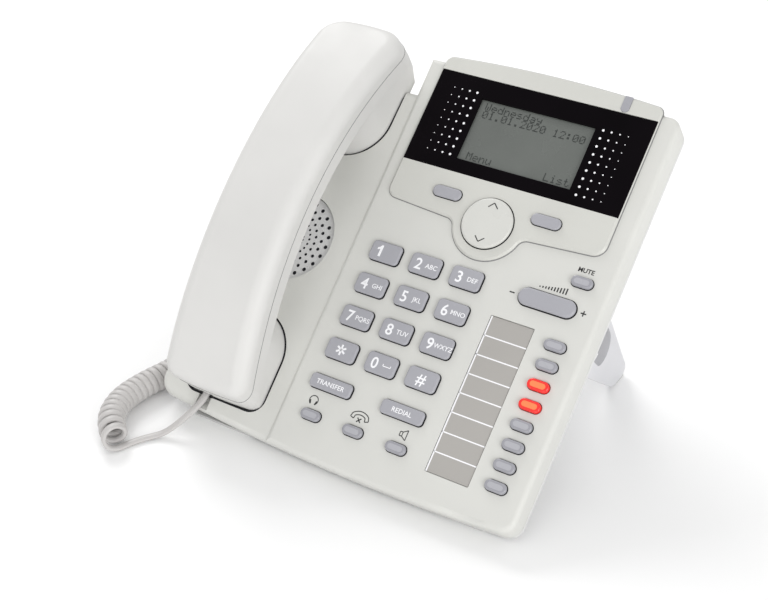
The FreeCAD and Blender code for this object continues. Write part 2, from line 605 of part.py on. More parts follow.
def cord_tube(name, route, diameter):
    """Tube along straight runs joined by tangent arcs; the route is already in the part's frame."""
    points = [V3(*p) for p in route]
    edges, radii, last = [], [], points[0]
    for before, corner, after in zip(points, points[1:], points[2:]):
        a, b = before - corner, after - corner
        half_turn = (math.pi - a.getAngle(b)) / 2
        radius = 0.45 * min(a.Length, b.Length) / math.tan(half_turn)
        start, middle, end = corner_arc(before, corner, after, radius)
        edges += [Part.LineSegment(last, start).toShape(), Part.Arc(start, middle, end).toShape()]
        radii.append(round(radius, 1))
        last = end
    edges.append(Part.LineSegment(last, points[-1]).toShape())
    path = Part.Wire(edges)
    section = Part.Wire([Part.makeCircle(diameter / 2, points[0], points[1] - points[0])])
    tube = path.makePipeShell([section], True, False)
    print("%-14s length %6.1f  volume %8.1f of %8.1f  radii %s" % (
        name, path.Length, tube.Volume, math.pi * diameter ** 2 / 4 * path.Length, radii))
    cords[name] = tube


def build_cord():
    cord_tube("cord_coil", COIL_ROUTE, COIL_DIAMETER)
    cord_tube("cord_tail", TAIL_ROUTE, CORD_DIAMETER)
    cord_tube("cord_lead", LEAD_ROUTE, CORD_DIAMETER)
    handset_plug = block(PLUG_U - 3.7, PLUG_U + 3.7, -89.5, -74.2, PLUG_H - 2.9, PLUG_H + 2.9)
    console_plug = block(-82.5, -68.4, JACK_V - 3.8, JACK_V + 3.8, JACK_H - 3.0, JACK_H + 3.0)
    for name, plug in (("handset_plug", handset_plug), ("console_plug", console_plug)):
        cords[name] = stand_up(plug.makeChamfer(0.5, plug.Edges))


JOINT_PLACES = {"nav_rocker": (NAV_U, NAV_V, PIVOT_H), "volume_rocker": (VOLUME_U, VOLUME_V, PIVOT_H)}


def stand_up(shape):
    """From the face frame to the part's frame."""
    placed = shape.copy()
    placed.rotate(V3(0, 0, 0), V3(1, 0, 0), TILT)
    placed.translate(V3(0, Y_SHIFT, FACE_HEIGHT))
    return placed


def main():
    build_keys()
    build_top_cover()
    build_base()
    build_screws()
    build_hood()
    build_display()
    build_labels()
    build_boards()
    build_ports()
    build_speaker()
    build_hook_switch()
    build_handset()
    build_stand()
    build_feet()
    build_cord()
    pieces = {name: stand_up(shape) for name, shape in nodes.items()}
    box = FreeCAD.BoundBox()
    for shape in pieces.values():
        box.add(shape.optimalBoundingBox(False))
    pieces.update(cords)
    os.makedirs("parts", exist_ok=True)
    for name, shape in pieces.items():
        shape.exportStep("parts/%s.step" % name)
        print("%-22s solids %d  volume %9.1f  valid %s" % (name, len(shape.Solids), shape.Volume, shape.isValid()))
    print(len(pieces), "nodes; box without the cord:")
    print([round(x, 3) for x in (box.XMin, box.XMax, box.YMin, box.YMax, box.ZMin, box.ZMax)])
    for name, place in JOINT_PLACES.items():
        spot = stand_up(Part.Vertex(V3(*place))).Point
        print("%-14s at" % name, [round(x / 1000, 5) for x in spot])


main()
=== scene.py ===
import math

import bmesh
import bpy
from mathutils import Matrix, Vector


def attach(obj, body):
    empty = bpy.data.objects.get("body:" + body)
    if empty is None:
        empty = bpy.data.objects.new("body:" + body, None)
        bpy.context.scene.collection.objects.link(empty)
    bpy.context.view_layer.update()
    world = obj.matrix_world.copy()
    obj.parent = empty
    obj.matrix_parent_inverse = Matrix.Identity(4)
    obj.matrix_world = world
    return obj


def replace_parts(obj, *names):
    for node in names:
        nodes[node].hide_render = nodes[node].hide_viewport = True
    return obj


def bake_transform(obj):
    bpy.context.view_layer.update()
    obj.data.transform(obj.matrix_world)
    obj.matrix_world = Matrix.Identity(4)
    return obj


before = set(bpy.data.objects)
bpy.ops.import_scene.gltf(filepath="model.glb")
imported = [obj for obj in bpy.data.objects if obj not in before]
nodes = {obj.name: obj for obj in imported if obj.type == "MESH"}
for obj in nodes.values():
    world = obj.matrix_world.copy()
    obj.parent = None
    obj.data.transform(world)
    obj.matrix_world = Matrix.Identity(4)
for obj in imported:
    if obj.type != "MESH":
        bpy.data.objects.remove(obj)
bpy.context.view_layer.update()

scene = bpy.context.scene

# Face frame: u right, v towards the rear edge, h out of the face, in millimetres.
TILT = math.radians(40.0)
FACE_HEIGHT = 0.077
Y_SHIFT = -0.007884
MM = 0.001
FACE = (Matrix.Translation((0, Y_SHIFT, FACE_HEIGHT)) @ Matrix.Rotation(TILT, 4, "X")
        @ Matrix.Diagonal((MM, MM, MM, 1)))


# ---------------------------------------------------------------- camera

CAMERA_PLACE = (0.28528, -0.48525, 0.42426)
CAMERA_RIGHT = (0.8493, 0.5278, -0.0047)
CAMERA_FORWARD = (-0.4421, 0.7064, -0.5527)
CAMERA_LENS = 66.28
CAMERA_SENSOR = 36.0


def make_camera():
    right, forward = Vector(CAMERA_RIGHT), Vector(CAMERA_FORWARD).normalized()
    right = (right - forward * right.dot(forward)).normalized()
    up = right.cross(forward)
    data = bpy.data.cameras.new("camera")
    data.sensor_width = CAMERA_SENSOR
    data.lens = CAMERA_LENS
    data.clip_end = 20.0
    camera = bpy.data.objects.new("camera", data)
    turned = Matrix((right, up, -forward)).transposed().to_4x4()
    camera.matrix_world = Matrix.Translation(CAMERA_PLACE) @ turned
    scene.collection.objects.link(camera)
    scene.camera = camera


make_camera()


# ---------------------------------------------------------------- materials

def new_material(name):
    material = bpy.data.materials.new(name)
    material.use_nodes = True
    tree = material.node_tree
    return material, tree.nodes, tree.links, tree.nodes["Principled BSDF"]


def noise(tree_nodes, links, scale, detail=4.0, source=None):
    texture = tree_nodes.new("ShaderNodeTexNoise")
    texture.inputs["Scale"].default_value = scale
    texture.inputs["Detail"].default_value = detail
    if source is None:
        source = tree_nodes.new("ShaderNodeTexCoord").outputs["Object"]
    links.new(source, texture.inputs["Vector"])
    return texture


def spread(tree_nodes, links, value, low, high, start=0.3, end=0.7):
    node = tree_nodes.new("ShaderNodeMapRange")
    node.inputs["From Min"].default_value = start
    node.inputs["From Max"].default_value = end
    node.inputs["To Min"].default_value = low
    node.inputs["To Max"].default_value = high
    links.new(value, node.inputs["Value"])
    return node.outputs["Result"]


def moulded(name, color, roughness=0.45, grain=0.00003, grain_scale=2600.0, vary=0.025, coat=0.0,
            emission=None, transmission=0.0, metallic=0.0, specular=0.5):
    """Moulded plastic and its like: fine grain, slow colour drift and uneven gloss."""
    material, n, links, shader = new_material(name)
    where = n.new("ShaderNodeTexCoord").outputs["Object"]
    slow = noise(n, links, 22.0, 3.0, where)
    ramp = n.new("ShaderNodeValToRGB")
    ramp.color_ramp.elements[0].position = 0.3
    ramp.color_ramp.elements[1].position = 0.7
    ramp.color_ramp.elements[0].color = [c * (1 - vary) for c in color] + [1]
    ramp.color_ramp.elements[1].color = [min(1, c * (1 + vary)) for c in color] + [1]
    links.new(slow.outputs["Fac"], ramp.inputs["Fac"])
    links.new(ramp.outputs["Color"], shader.inputs["Base Color"])
    patches = noise(n, links, 90.0, 5.0, where)
    links.new(spread(n, links, patches.outputs["Fac"], roughness - 0.05, roughness + 0.06),
              shader.inputs["Roughness"])
    fine = noise(n, links, grain_scale, 2.0, where)
    bump = n.new("ShaderNodeBump")
    bump.inputs["Strength"].default_value = 0.35
    bump.inputs["Distance"].default_value = grain
    links.new(fine.outputs["Fac"], bump.inputs["Height"])
    links.new(bump.outputs["Normal"], shader.inputs["Normal"])
    shader.inputs["Metallic"].default_value = metallic
    shader.inputs["IOR"].default_value = 1.46
    shader.inputs["Specular IOR Level"].default_value = specular
    if coat:
        shader.inputs["Coat Weight"].default_value = coat
        shader.inputs["Coat Roughness"].default_value = 0.08
    if emission:
        shader.inputs["Emission Color"].default_value = (*emission[:3], 1)
        shader.inputs["Emission Strength"].default_value = emission[3]
    if transmission:
        shader.inputs["Transmission Weight"].default_value = transmission
    return material


M = {
    "housing": moulded("housing_plastic", (0.62, 0.62, 0.59), 0.46),
    # The base cover is the housing colour made lighter: painted light on the console's side walls.
    "housing_side_lit": moulded("base_plastic_lit", (0.66, 0.66, 0.65), 0.46),
    "hood": moulded("hood_plastic", (0.575, 0.575, 0.54), 0.36, grain=0.00001),
    "handset": moulded("handset_plastic", (0.64, 0.635, 0.62), 0.44, grain=0.00001, specular=0.3),
    "key": moulded("key_plastic", (0.36, 0.36, 0.39), 0.38, grain=0.00001),
    "oval": moulded("oval_key_plastic", (0.31, 0.31, 0.34), 0.3, grain=0.000006, coat=0.3),
    "oval_centre": moulded("oval_key_centre", (0.40, 0.40, 0.43), 0.3, grain=0.000006, coat=0.3),
    "lit": moulded("lit_key_plastic", (0.62, 0.02, 0.015), 0.25, grain=0.000006, coat=0.3,
                   emission=(0.8, 0.01, 0.01, 0.35)),
    "lit_centre": moulded("lit_key_centre", (0.9, 0.16, 0.06), 0.25, grain=0.000006,
                          emission=(1.0, 0.13, 0.04, 0.65)),
    "nav": moulded("nav_plastic", (0.60, 0.60, 0.57), 0.3, grain=0.000006),
    "window": moulded("window_plastic", (0.004, 0.003, 0.004), 0.12, grain=0.000002, vary=0.2,
                      specular=0.03),
    "screen": moulded("screen_glass", (0.13, 0.14, 0.13), 0.25, grain=0.000002, vary=0.12),
    "screen_ink": moulded("screen_ink", (0.022, 0.026, 0.024), 0.5, vary=0.1),
    "ink": moulded("dark_ink", (0.03, 0.03, 0.03), 0.5, vary=0.2),
    "white_ink": moulded("white_ink", (0.86, 0.86, 0.88), 0.5, grain=0.000004),
    "lamp": moulded("lamp_plastic", (0.34, 0.34, 0.37), 0.3, grain=0.00001, coat=0.2),
    "paper": moulded("label_paper", (0.38, 0.365, 0.345), 0.7, grain=0.00002, grain_scale=4200.0),
    "board": moulded("circuit_board", (0.03, 0.2, 0.07), 0.4, vary=0.2),
    # The keypad mat's material, made near black so the mat and its rims show as painted shade in the gaps
    # round the keys.
    "mat_and_gap_shade": moulded("keypad_silicone_gap_shade", (0.035, 0.035, 0.04), 0.6),
    "seam": moulded("seam_shadow", (0.22, 0.22, 0.22), 0.7, vary=0.1),
    "gap": moulded("gap_shadow", (0.02, 0.02, 0.024), 0.8, vary=0.1, specular=0.1),
    "black": moulded("black_plastic", (0.02, 0.02, 0.022), 0.45),
    "grille": moulded("grille_plastic", (0.60, 0.60, 0.60), 0.42),
    "cone": moulded("speaker_paper", (0.03, 0.03, 0.03), 0.8, grain=0.0001, grain_scale=900.0),
    "metal": moulded("can_metal", (0.5, 0.5, 0.52), 0.35, metallic=1.0),
    "steel": moulded("screw_steel", (0.4, 0.4, 0.42), 0.35, metallic=1.0),
    "rubber": moulded("foot_rubber", (0.52, 0.52, 0.51), 0.8, grain=0.00006, grain_scale=1500.0),
    "cord": moulded("cord_plastic", (0.51, 0.495, 0.485), 0.42, grain=0.00002),
    # The stand is the housing colour made slightly darker and bluer: painted shade on the stand.
    "stand": moulded("stand_plastic_shaded", (0.60, 0.60, 0.62), 0.46),
    "clear": moulded("clear_plug", (0.75, 0.77, 0.8), 0.15, grain=0.000005, transmission=0.7),
}

NODE_MATERIALS = {
    "housing": ["top_cover", "hook_plunger"],
    "housing_side_lit": ["base_cover"],
    "stand": ["stand"],
    "hood": ["display_hood"],
    "handset": ["handset_back_shell", "handset_front_shell"],
    "nav": ["nav_rocker"],
    "window": ["display_window"],
    "screen": ["lcd_module"],
    "lamp": ["message_lamp_lens"],
    "paper": ["label_card"],
    "white_ink": ["label_cover"],
    "mat_and_gap_shade": ["keypad_mat"],
    "board": ["main_board", "network_board"],
    "black": ["sockets", "power_inlet", "handset_jack", "hook_microswitch"],
    "grille": ["speaker_grille"],
    "cone": ["loudspeaker"],
    "metal": ["handset_receiver", "handset_microphone"],
    "steel": ["screws"],
    "rubber": ["rubber_feet"],
    "cord": ["cord_coil", "cord_tail", "cord_lead"],
    "clear": ["handset_plug", "console_plug"],
    "lit": ["program_key_3", "program_key_4"],
}
PROGRAM_KEYS = ["program_key_%d" % i for i in range(1, 9)]
OVAL_KEYS = ["headset_key", "cancel_key", "speaker_key", "mute_key"] + PROGRAM_KEYS


def paint_nodes():
    chosen = {name: "key" for name in nodes}
    chosen.update({name: "oval" for name in OVAL_KEYS})
    for key, names in NODE_MATERIALS.items():
        chosen.update({name: key for name in names})
    for name, key in chosen.items():
        for place in nodes[name].material_slots:
            place.material = M[key]


paint_nodes()


# ---------------------------------------------------------------- mesh helpers

def mesh_piece(name, vertices, faces, material, body, to_world=FACE, smooth=True):
    mesh = bpy.data.meshes.new(name)
    mesh.from_pydata([to_world @ Vector(v) for v in vertices], [], faces)
    mesh.validate()
    work = bmesh.new()
    work.from_mesh(mesh)
    bmesh.ops.recalc_face_normals(work, faces=work.faces)
    work.to_mesh(mesh)
    work.free()
    mesh.materials.append(M[material])
    if smooth:
        mesh.shade_smooth()
    piece = bpy.data.objects.new(name, mesh)
    scene.collection.objects.link(piece)
    if body:
        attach(piece, body)
    return piece


class Print:
    """Thin raised print in the face frame, gathered into one mesh."""

    def __init__(self, height, thickness=0.06):
        self.low, self.high = height, height + thickness
        self.vertices, self.faces = [], []

    def polygon(self, outline):
        start, count = len(self.vertices), len(outline)
        self.vertices += [(u, v, self.low) for u, v in outline] + [(u, v, self.high) for u, v in outline]
        self.faces.append([start + count + i for i in range(count)])
        self.faces.append([start + i for i in reversed(range(count))])
        for i in range(count):
            j = (i + 1) % count
            self.faces.append([start + i, start + j, start + count + j, start + count + i])

    def bar(self, a, b, width):
        along = (Vector(b) - Vector(a)).normalized() * width / 2
        side = Vector((-along.y, along.x))
        a, b = Vector(a), Vector(b)
        self.polygon([tuple(a - side), tuple(b - side), tuple(b + side), tuple(a + side)])

    def line(self, points, width):
        for a, b in zip(points, points[1:]):
            self.bar(a, b, width)

    def dot(self, u, v, radius, count=14):
        turn = 2 * math.pi / count
        self.polygon([(u + radius * math.cos(turn * i), v + radius * math.sin(turn * i))
                      for i in range(count)])

    def ring_arc(self, u, v, radius, start, end, width, count=18):
        step = math.radians(end - start) / count
        angles = [math.radians(start) + step * i for i in range(count + 1)]
        self.line([(u + radius * math.cos(a), v + radius * math.sin(a)) for a in angles], width)

    def text(self, words, u, v, cap, wide=1.0, bold=0.0, slant=0.0):
        """Words centred on a point; cap is the height of a capital."""
        curve = bpy.data.curves.new("words", "FONT")
        curve.body = words
        curve.size = cap / 0.73
        curve.offset = bold
        curve.shear = slant
        curve.align_x = "CENTER"
        curve.resolution_u = 3
        holder = bpy.data.objects.new("words", curve)
        scene.collection.objects.link(holder)
        bpy.context.view_layer.update()
        flat = bpy.data.meshes.new_from_object(holder)
        bpy.data.objects.remove(holder)
        bpy.data.curves.remove(curve)
        work = bmesh.new()
        work.from_mesh(flat)
        bmesh.ops.remove_doubles(work, verts=work.verts, dist=1e-4)
        lifted = bmesh.ops.extrude_face_region(work, geom=work.faces[:])
        for item in lifted["geom"]:
            if isinstance(item, bmesh.types.BMVert):
                item.co.z += self.high - self.low
        start = len(self.vertices)
        work.verts.index_update()
        self.vertices += [(u + p.co.x * wide, v + p.co.y - cap / 2, self.low + p.co.z) for p in work.verts]
        self.faces += [[start + p.index for p in face.verts] for face in work.faces]
        work.free()
        bpy.data.meshes.remove(flat)

    def piece(self, name, material, body, record_slot):
        return mesh_piece(name, self.vertices, self.faces, material, body, smooth=False)


# ---------------------------------------------------------------- handset cord

COIL_ROUTE = [(-0.0900, -0.1189, 0.007), (-0.1034, -0.1101, 0.007), (-0.1109, -0.0950, 0.007),
              (-0.1099, -0.0790, 0.007), (-0.1052, -0.0630, 0.007), (-0.1012, -0.0460, 0.007),
              (-0.0974, -0.0170, 0.007), (-0.0962, 0.0160, 0.007), (-0.0965, 0.0390, 0.007),
              (-0.0973, 0.0594, 0.007)]
TAIL_ROUTE = [(-0.0690, -0.076226, 0.019132), (-0.0691, -0.079635, 0.016272), (-0.0704, -0.0846, 0.0138),
              (-0.0726, -0.08835, 0.0108), (-0.0764, -0.0926, 0.0064), (-0.0808, -0.0970, 0.0022),
              (-0.0860, -0.1022, 0.00125), (-0.0904, -0.1089, 0.00125), (-0.0929, -0.1163, 0.00125)]
LEAD_ROUTE = [(-0.0825, -0.01891, 0.04347), (-0.0905, -0.0191, 0.0429), (-0.0985, -0.0175, 0.0390),
              (-0.1046, -0.0125, 0.0315), (-0.1076, -0.0045, 0.0225), (-0.1086, 0.0055, 0.0135),
              (-0.1089, 0.0160, 0.0060), (-0.1093, 0.0270, 0.0018), (-0.1094, 0.0375, 0.00125),
              (-0.1082, 0.0468, 0.00125), (-0.1045, 0.0535, 0.00125), (-0.0976, 0.0563, 0.00125)]
COIL_RADIUS = 0.0069
WIRE_HALF_WIDTH = 0.00182
WIRE_HALF_THICKNESS = 0.00115
WIRE_SIDES = 12
WIRE_SQUARENESS = 0.8      # 1 gives an ellipse, less gives flatter sides
TURNS = 47
POINTS_PER_TURN = 20
OPEN_TURNS = 0.0062        # extra length over which the first turns stand apart
OPEN_DECAY = 1.25          # turns after which the extra spacing fades
COIL_END_MARGIN = 0.003
UP = Vector((0, 0, 1))


def smooth_line(route, resolution=16):
    """Points along the NURBS line of a route."""
    curve = bpy.data.curves.new("route", "CURVE")
    curve.dimensions = "3D"
    spline = curve.splines.new("NURBS")
    spline.points.add(len(route) - 1)
    for point, place in zip(spline.points, route):
        point.co = (*place, 1)
    spline.order_u = 3
    spline.use_endpoint_u = True
    spline.resolution_u = resolution
    holder = bpy.data.objects.new("route", curve)
    scene.collection.objects.link(holder)
    bpy.context.view_layer.update()
    mesh = bpy.data.meshes.new_from_object(holder)
    points = [v.co.copy() for v in mesh.vertices]
    bpy.data.objects.remove(holder)
    bpy.data.curves.remove(curve)
    bpy.data.meshes.remove(mesh)
    return points


class Line:
    """Points addressed by distance along them."""

    def __init__(self, points):
        self.points = points
        self.reach = [0.0]
        for a, b in zip(points, points[1:]):
            self.reach.append(self.reach[-1] + (b - a).length)
        self.length = self.reach[-1]

    def at(self, s):
        s = min(max(s, 0.0), self.length)
        low, high = 0, len(self.reach) - 1
        while high - low > 1:
            middle = (low + high) // 2
            if self.reach[middle] <= s:
                low = middle
            else:
                high = middle
        share = (s - self.reach[low]) / max(self.reach[high] - self.reach[low], 1e-12)
        return self.points[low].lerp(self.points[high], share)

    def direction(self, s, step=0.001):
        return (self.at(s + step) - self.at(s - step)).normalized()


def cord_path():
    """The whole cord from the handset to the console, with the flat side's normal at each point."""
    tail, coil, lead = (Line(smooth_line(r)) for r in (TAIL_ROUTE, COIL_ROUTE, LEAD_ROUTE[::-1]))
    path, normals = [], []

    def lay(line, start, end, step=0.0011):
        count = int((end - start) / step)
        for i in range(count + 1):
            s = start + (end - start) * i / count
            along = line.direction(s)
            path.append(line.at(s))
            normals.append((UP - along * UP.dot(along)).normalized())

    lay(tail, 0.0, tail.length - 0.0005)
    first, last = COIL_END_MARGIN, coil.length - COIL_END_MARGIN
    even = (last - first - OPEN_TURNS) / TURNS
    radius = COIL_RADIUS - WIRE_HALF_THICKNESS
    for k in range(1, TURNS * POINTS_PER_TURN):
        turn = k / POINTS_PER_TURN
        s = first + even * turn + OPEN_TURNS * (1 - math.exp(-turn / OPEN_DECAY))
        along = coil.direction(s, 0.002)
        side = UP.cross(along).normalized()
        over = along.cross(side).normalized()
        angle = 2 * math.pi * turn
        outward = side * math.sin(angle) - over * math.cos(angle)
        path.append(coil.at(s) + outward * radius)
        normals.append(-outward)
    lay(lead, 0.0005, lead.length)
    for _ in range(3):
        inside = [a * 0.2 + b * 0.6 + c * 0.2 for a, b, c in zip(path, path[1:], path[2:])]
        path = [path[0]] + inside + [path[-1]]
    return path, normals


def make_cord():
    path, normals = cord_path()
    sides = WIRE_SIDES
    vertices, faces = [], []
    for i, (place, normal) in enumerate(zip(path, normals)):
        along = (path[min(i + 1, len(path) - 1)] - path[max(i - 1, 0)]).normalized()
        thin = (normal - along * normal.dot(along)).normalized()
        wide = along.cross(thin)
        for k in range(sides):
            angle = 2 * math.pi * k / sides
            c, s = math.cos(angle), math.sin(angle)
            c = math.copysign(abs(c) ** WIRE_SQUARENESS, c)
            s = math.copysign(abs(s) ** WIRE_SQUARENESS, s)
            vertices.append(place + wide * (c * WIRE_HALF_WIDTH) + thin * (s * WIRE_HALF_THICKNESS))
    for i in range(len(path) - 1):
        for k in range(sides):
            j = (k + 1) % sides
            faces.append([i * sides + k, i * sides + j, (i + 1) * sides + j, (i + 1) * sides + k])
    faces.append(list(range(sides))[::-1])
    faces.append([(len(path) - 1) * sides + k for k in range(sides)])
    cord = mesh_piece("handset_cord", vertices, faces, "cord", None, Matrix.Identity(4))
    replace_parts(cord, "cord_coil", "cord_tail", "cord_lead")
    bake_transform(cord)


make_cord()


# ---------------------------------------------------------------- keys and their print

DIAL_KEYS = ["1", "2", "3", "4", "5", "6", "7", "8", "9", "star", "0", "hash"]
DIAL_U, DIAL_V, DIAL_PITCH_U, DIAL_PITCH_V = -12.0, 0.2, 21.4, 16.8
LED_U, LED_V, LED_PITCH = -13.2, -83.0, 22.7
PROGRAM_U, PROGRAM_V, PROGRAM_PITCH = 82.2, -16.3, 9.5
BAR_V = -67.1
BAR_KEYS = {"transfer_key": ("TRANSFER", -9.6), "redial_key": ("REDIAL", 28.4)}
# length, width and corner radius
DIAL_SIZE, BAR_SIZE = (15.8, 9.8, 2.2), (22.0, 6.8, 2.0)
OVAL_SIZE, SOFT_SIZE = (10.4, 5.0, 2.49), (14.8, 5.6, 2.79)
KEY_GAP = 0.35
KEY_TOP = 2.0
NAV_TOP = 3.2
PRINT_SUNK = 0.01          # how far print reaches into the surface under it


def key_places():
    """Name, then place and size, of every key that comes through the panel."""
    keys = {}
    for i, key in enumerate(DIAL_KEYS):
        keys["key_" + key] = (DIAL_U + DIAL_PITCH_U * (i % 3), DIAL_V - DIAL_PITCH_V * (i // 3), *DIAL_SIZE)
    for name, (_, u) in BAR_KEYS.items():
        keys[name] = (u, BAR_V, *BAR_SIZE)
    for i in range(3):
        keys[OVAL_KEYS[i]] = (LED_U + LED_PITCH * i, LED_V, *OVAL_SIZE)
    keys["mute_key"] = (82.5, 14.7, *OVAL_SIZE)
    for i, name in enumerate(PROGRAM_KEYS):
        keys[name] = (PROGRAM_U, PROGRAM_V - PROGRAM_PITCH * i, *OVAL_SIZE)
    return keys


PANEL_KEYS = key_places()
LETTERS = {"2": "ABC", "3": "DEF", "4": "GHI", "5": "JKL", "6": "MNO", "7": "PQRS", "8": "TUV", "9": "WXYZ"}


def flagged_one(ink, u, v, cap):
    """The digit 1 with its flag."""
    half = cap / 2
    ink.polygon([(u - 0.1, v - half), (u + 1.15, v - half), (u + 1.15, v + half), (u + 0.25, v + half),
                 (u - 0.55, v + half - 1.0), (u - 1.45, v + half - 1.5), (u - 1.45, v + half - 2.5),
                 (u - 0.1, v + half - 2.0)])


def dial_print():
    for key in DIAL_KEYS:
        u, v = PANEL_KEYS["key_" + key][:2]
        ink = Print(KEY_TOP - PRINT_SUNK)
        if key == "star":
            for k in range(3):
                angle = math.radians(90 + 60 * k)
                arm = Vector((math.cos(angle), math.sin(angle))) * 2.6
                centre = Vector((u, v))
                ink.bar(tuple(centre - arm), tuple(centre + arm), 0.95)
        elif key == "1":
            flagged_one(ink, u - 2.9, v, 5.6)
        elif key == "hash":
            ink.text("#", u, v, 5.6, 1.0, 0.09)
        else:
            ink.text(key, u - 3.1, v, 5.5, 0.98, 0.11)
        if key in LETTERS:
            ink.text(LETTERS[key], u + 3.6, v - 0.1, 2.3, 1.0, 0.03)
        if key == "0":
            ink.line([(u + 1.3, v + 0.6), (u + 1.3, v - 0.4), (u + 5.2, v - 0.4), (u + 5.2, v + 0.6)], 0.4)
        ink.piece("print_key_" + key, "white_ink", "key_" + key, "key_plastic")
    for name, (words, u) in BAR_KEYS.items():
        ink = Print(KEY_TOP - PRINT_SUNK)
        ink.text(words, u, BAR_V, 2.3, 1.0, 0.04)
        ink.piece("print_" + name, "white_ink", name, "key_plastic")


def panel_print():
    """Dark marks printed on the key panel."""
    ink = Print(-0.02)
    ink.text("MUTE", 82.0, 20.6, 2.2, 1.0, 0.07)
    for k in range(10):
        u = 64.7 + 1.4 * k
        ink.bar((u, 7.3), (u, 7.9 + 0.27 * k), 0.65)
    ink.bar((52.3, 1.1), (54.8, 1.1), 0.6)
    ink.bar((87.0, 1.6), (89.6, 1.6), 0.6)
    ink.bar((88.3, 0.3), (88.3, 2.9), 0.6)
    # headset
    ink.ring_arc(-15.2, -76.1, 2.2, -50, 230, 0.45)
    ink.bar((-17.0, -76.2), (-16.4, -78.1), 0.8)
    ink.bar((-13.4, -76.2), (-14.0, -78.1), 0.8)
    # handset on hook with a cross
    ink.ring_arc(9.8, -79.4, 6.2, 48, 132, 0.45)
    ink.ring_arc(9.8, -79.4, 4.6, 55, 125, 0.45)
    ink.line([(5.65, -74.8), (5.1, -76.6), (6.9, -77.2), (7.2, -75.6)], 0.45)
    ink.line([(13.95, -74.8), (14.5, -76.6), (12.7, -77.2), (12.4, -75.6)], 0.45)
    ink.bar((8.8, -76.3), (10.8, -78.3), 0.55)
    ink.bar((8.8, -78.3), (10.8, -76.3), 0.55)
    # loudspeaker
    ink.line([(30.9, -75.0), (32.2, -75.0), (34.4, -73.6), (34.4, -78.4), (32.2, -77.0), (30.9, -77.0),
              (30.9, -75.0)], 0.42)
    ink.bar((32.2, -75.0), (32.2, -77.0), 0.38)
    ink.piece("print_panel", "ink", "console", "housing_plastic")
    marks = Print(NAV_TOP - PRINT_SUNK)
    marks.line([(27.5, 35.2), (29.8, 37.7), (32.3, 35.3)], 0.5)
    marks.line([(27.2, 20.4), (29.6, 18.0), (32.0, 20.3)], 0.5)
    marks.piece("print_nav", "ink", "nav_rocker", "hood_plastic")


def capsule(u, v, length, width, count=8):
    """Outline of a rounded bar."""
    radius, reach = width / 2, (length - width) / 2
    points = []
    for side, start in ((1, -90), (-1, 90)):
        for k in range(count + 1):
            angle = math.radians(start + 180 * k / count)
            points.append((u + side * reach + radius * math.cos(angle), v + radius * math.sin(angle)))
    return points


def rounded(u, v, length, width, radius, count=5):
    """Outline of a rectangle with rounded corners."""
    points = []
    for a, b, start in ((1, 1, 0), (-1, 1, 90), (-1, -1, 180), (1, -1, 270)):
        for k in range(count + 1):
            angle = math.radians(start + 90 * k / count)
            points.append((u + a * (length / 2 - radius) + radius * math.cos(angle),
                           v + b * (width / 2 - radius) + radius * math.sin(angle)))
    return points


def band(inner, outer, low, high, first=0):
    """Closed ring between two outlines of as many points, upright between two heights."""
    count = len(inner)
    levels = ((inner, low), (inner, high), (outer, high), (outer, low))
    vertices = [(a, b, h) for line, h in levels for a, b in line]
    faces = []
    for ring in range(4):
        here, after = first + ring * count, first + (ring + 1) % 4 * count
        for k in range(count):
            j = (k + 1) % count
            faces.append([here + k, here + j, after + j, after + k])
    return vertices, faces


def key_gap_shade():
    """Rims of the keypad mat that stand in the gaps round the keys, near black as painted shade in the gaps.
    """
    clear, low, high = 0.07, -2.5, -0.35
    vertices, faces = [], []
    for u, v, length, width, radius in PANEL_KEYS.values():
        far = KEY_GAP - clear
        rim = band(rounded(u, v, length + 2 * clear, width + 2 * clear, radius + clear),
                   rounded(u, v, length + 2 * far, width + 2 * far, radius + far), low, high, len(vertices))
        vertices += rim[0]
        faces += rim[1]
    mesh_piece("keypad_gap_shade_rims", vertices, faces, "mat_and_gap_shade", "console", smooth=False)


def key_side_shade():
    """Near-black band round the lower side wall of each key: painted shade, seen in the gap round it."""
    tall, corner_steps = 1.8, 12
    shade_rings = []
    for name, place in PANEL_KEYS.items():
        if name not in NODE_MATERIALS["lit"]:
            shade_rings.append((name, *place, 0.5 if name in OVAL_KEYS else 0.95))
    shade_rings += [("soft_key_left", 5.0, 36.5, *SOFT_SIZE, 2.0), ("soft_key_right", 56.1, 36.4, *SOFT_SIZE, 2.0),
             ("volume_rocker", 71.0, 1.2, 27.8, 8.4, 4.19, 0.6),
             ("nav_rocker", 29.8, 27.8, 24.8, 24.8, 12.39, 1.95)]
    for name, u, v, length, width, radius, high in shade_rings:
        vertices, faces = band(rounded(u, v, length - 0.2, width - 0.2, radius - 0.1, corner_steps),
                               rounded(u, v, length + 0.1, width + 0.1, radius + 0.05, corner_steps),
                               high - tall, high)
        mesh_piece("foot_" + name, vertices, faces, "gap", name, smooth=False)


def cradle_height(u, v):
    """Height of the cradle's scooped surface."""
    sweep, across, lowest, step = 410.0, 190.0, -3.8, -1.0
    ring = sweep + math.sqrt(across ** 2 - (u + 63.0) ** 2)
    scoop = lowest + sweep + across - math.sqrt(ring ** 2 - (v + 3.0) ** 2)
    return min(step, scoop)


def cup_line(gap, towards, centre, end, corner):
    """Outline of a cup of the cradle at a distance from the handset; a corner of 0 leaves its end open."""
    middle_u, cup, flare = -61.3, 21.2, 0.6
    r = cup + gap
    line = []
    if corner:
        for k in range(7):
            angle = math.radians(90 - 15 * k)
            line.append((middle_u + r + flare - corner + corner * math.cos(angle),
                         end - towards * (corner - corner * math.sin(angle))))
    else:
        line.append((middle_u + r + flare, end))
    for k in range(25):
        angle = math.radians(7.5 * k)
        line.append((middle_u + r * math.cos(angle), centre - towards * r * math.sin(angle)))
    mirrored = [(2 * middle_u - u, v) for u, v in reversed(line) if towards * (v - centre) > 1.0]
    return line + mirrored


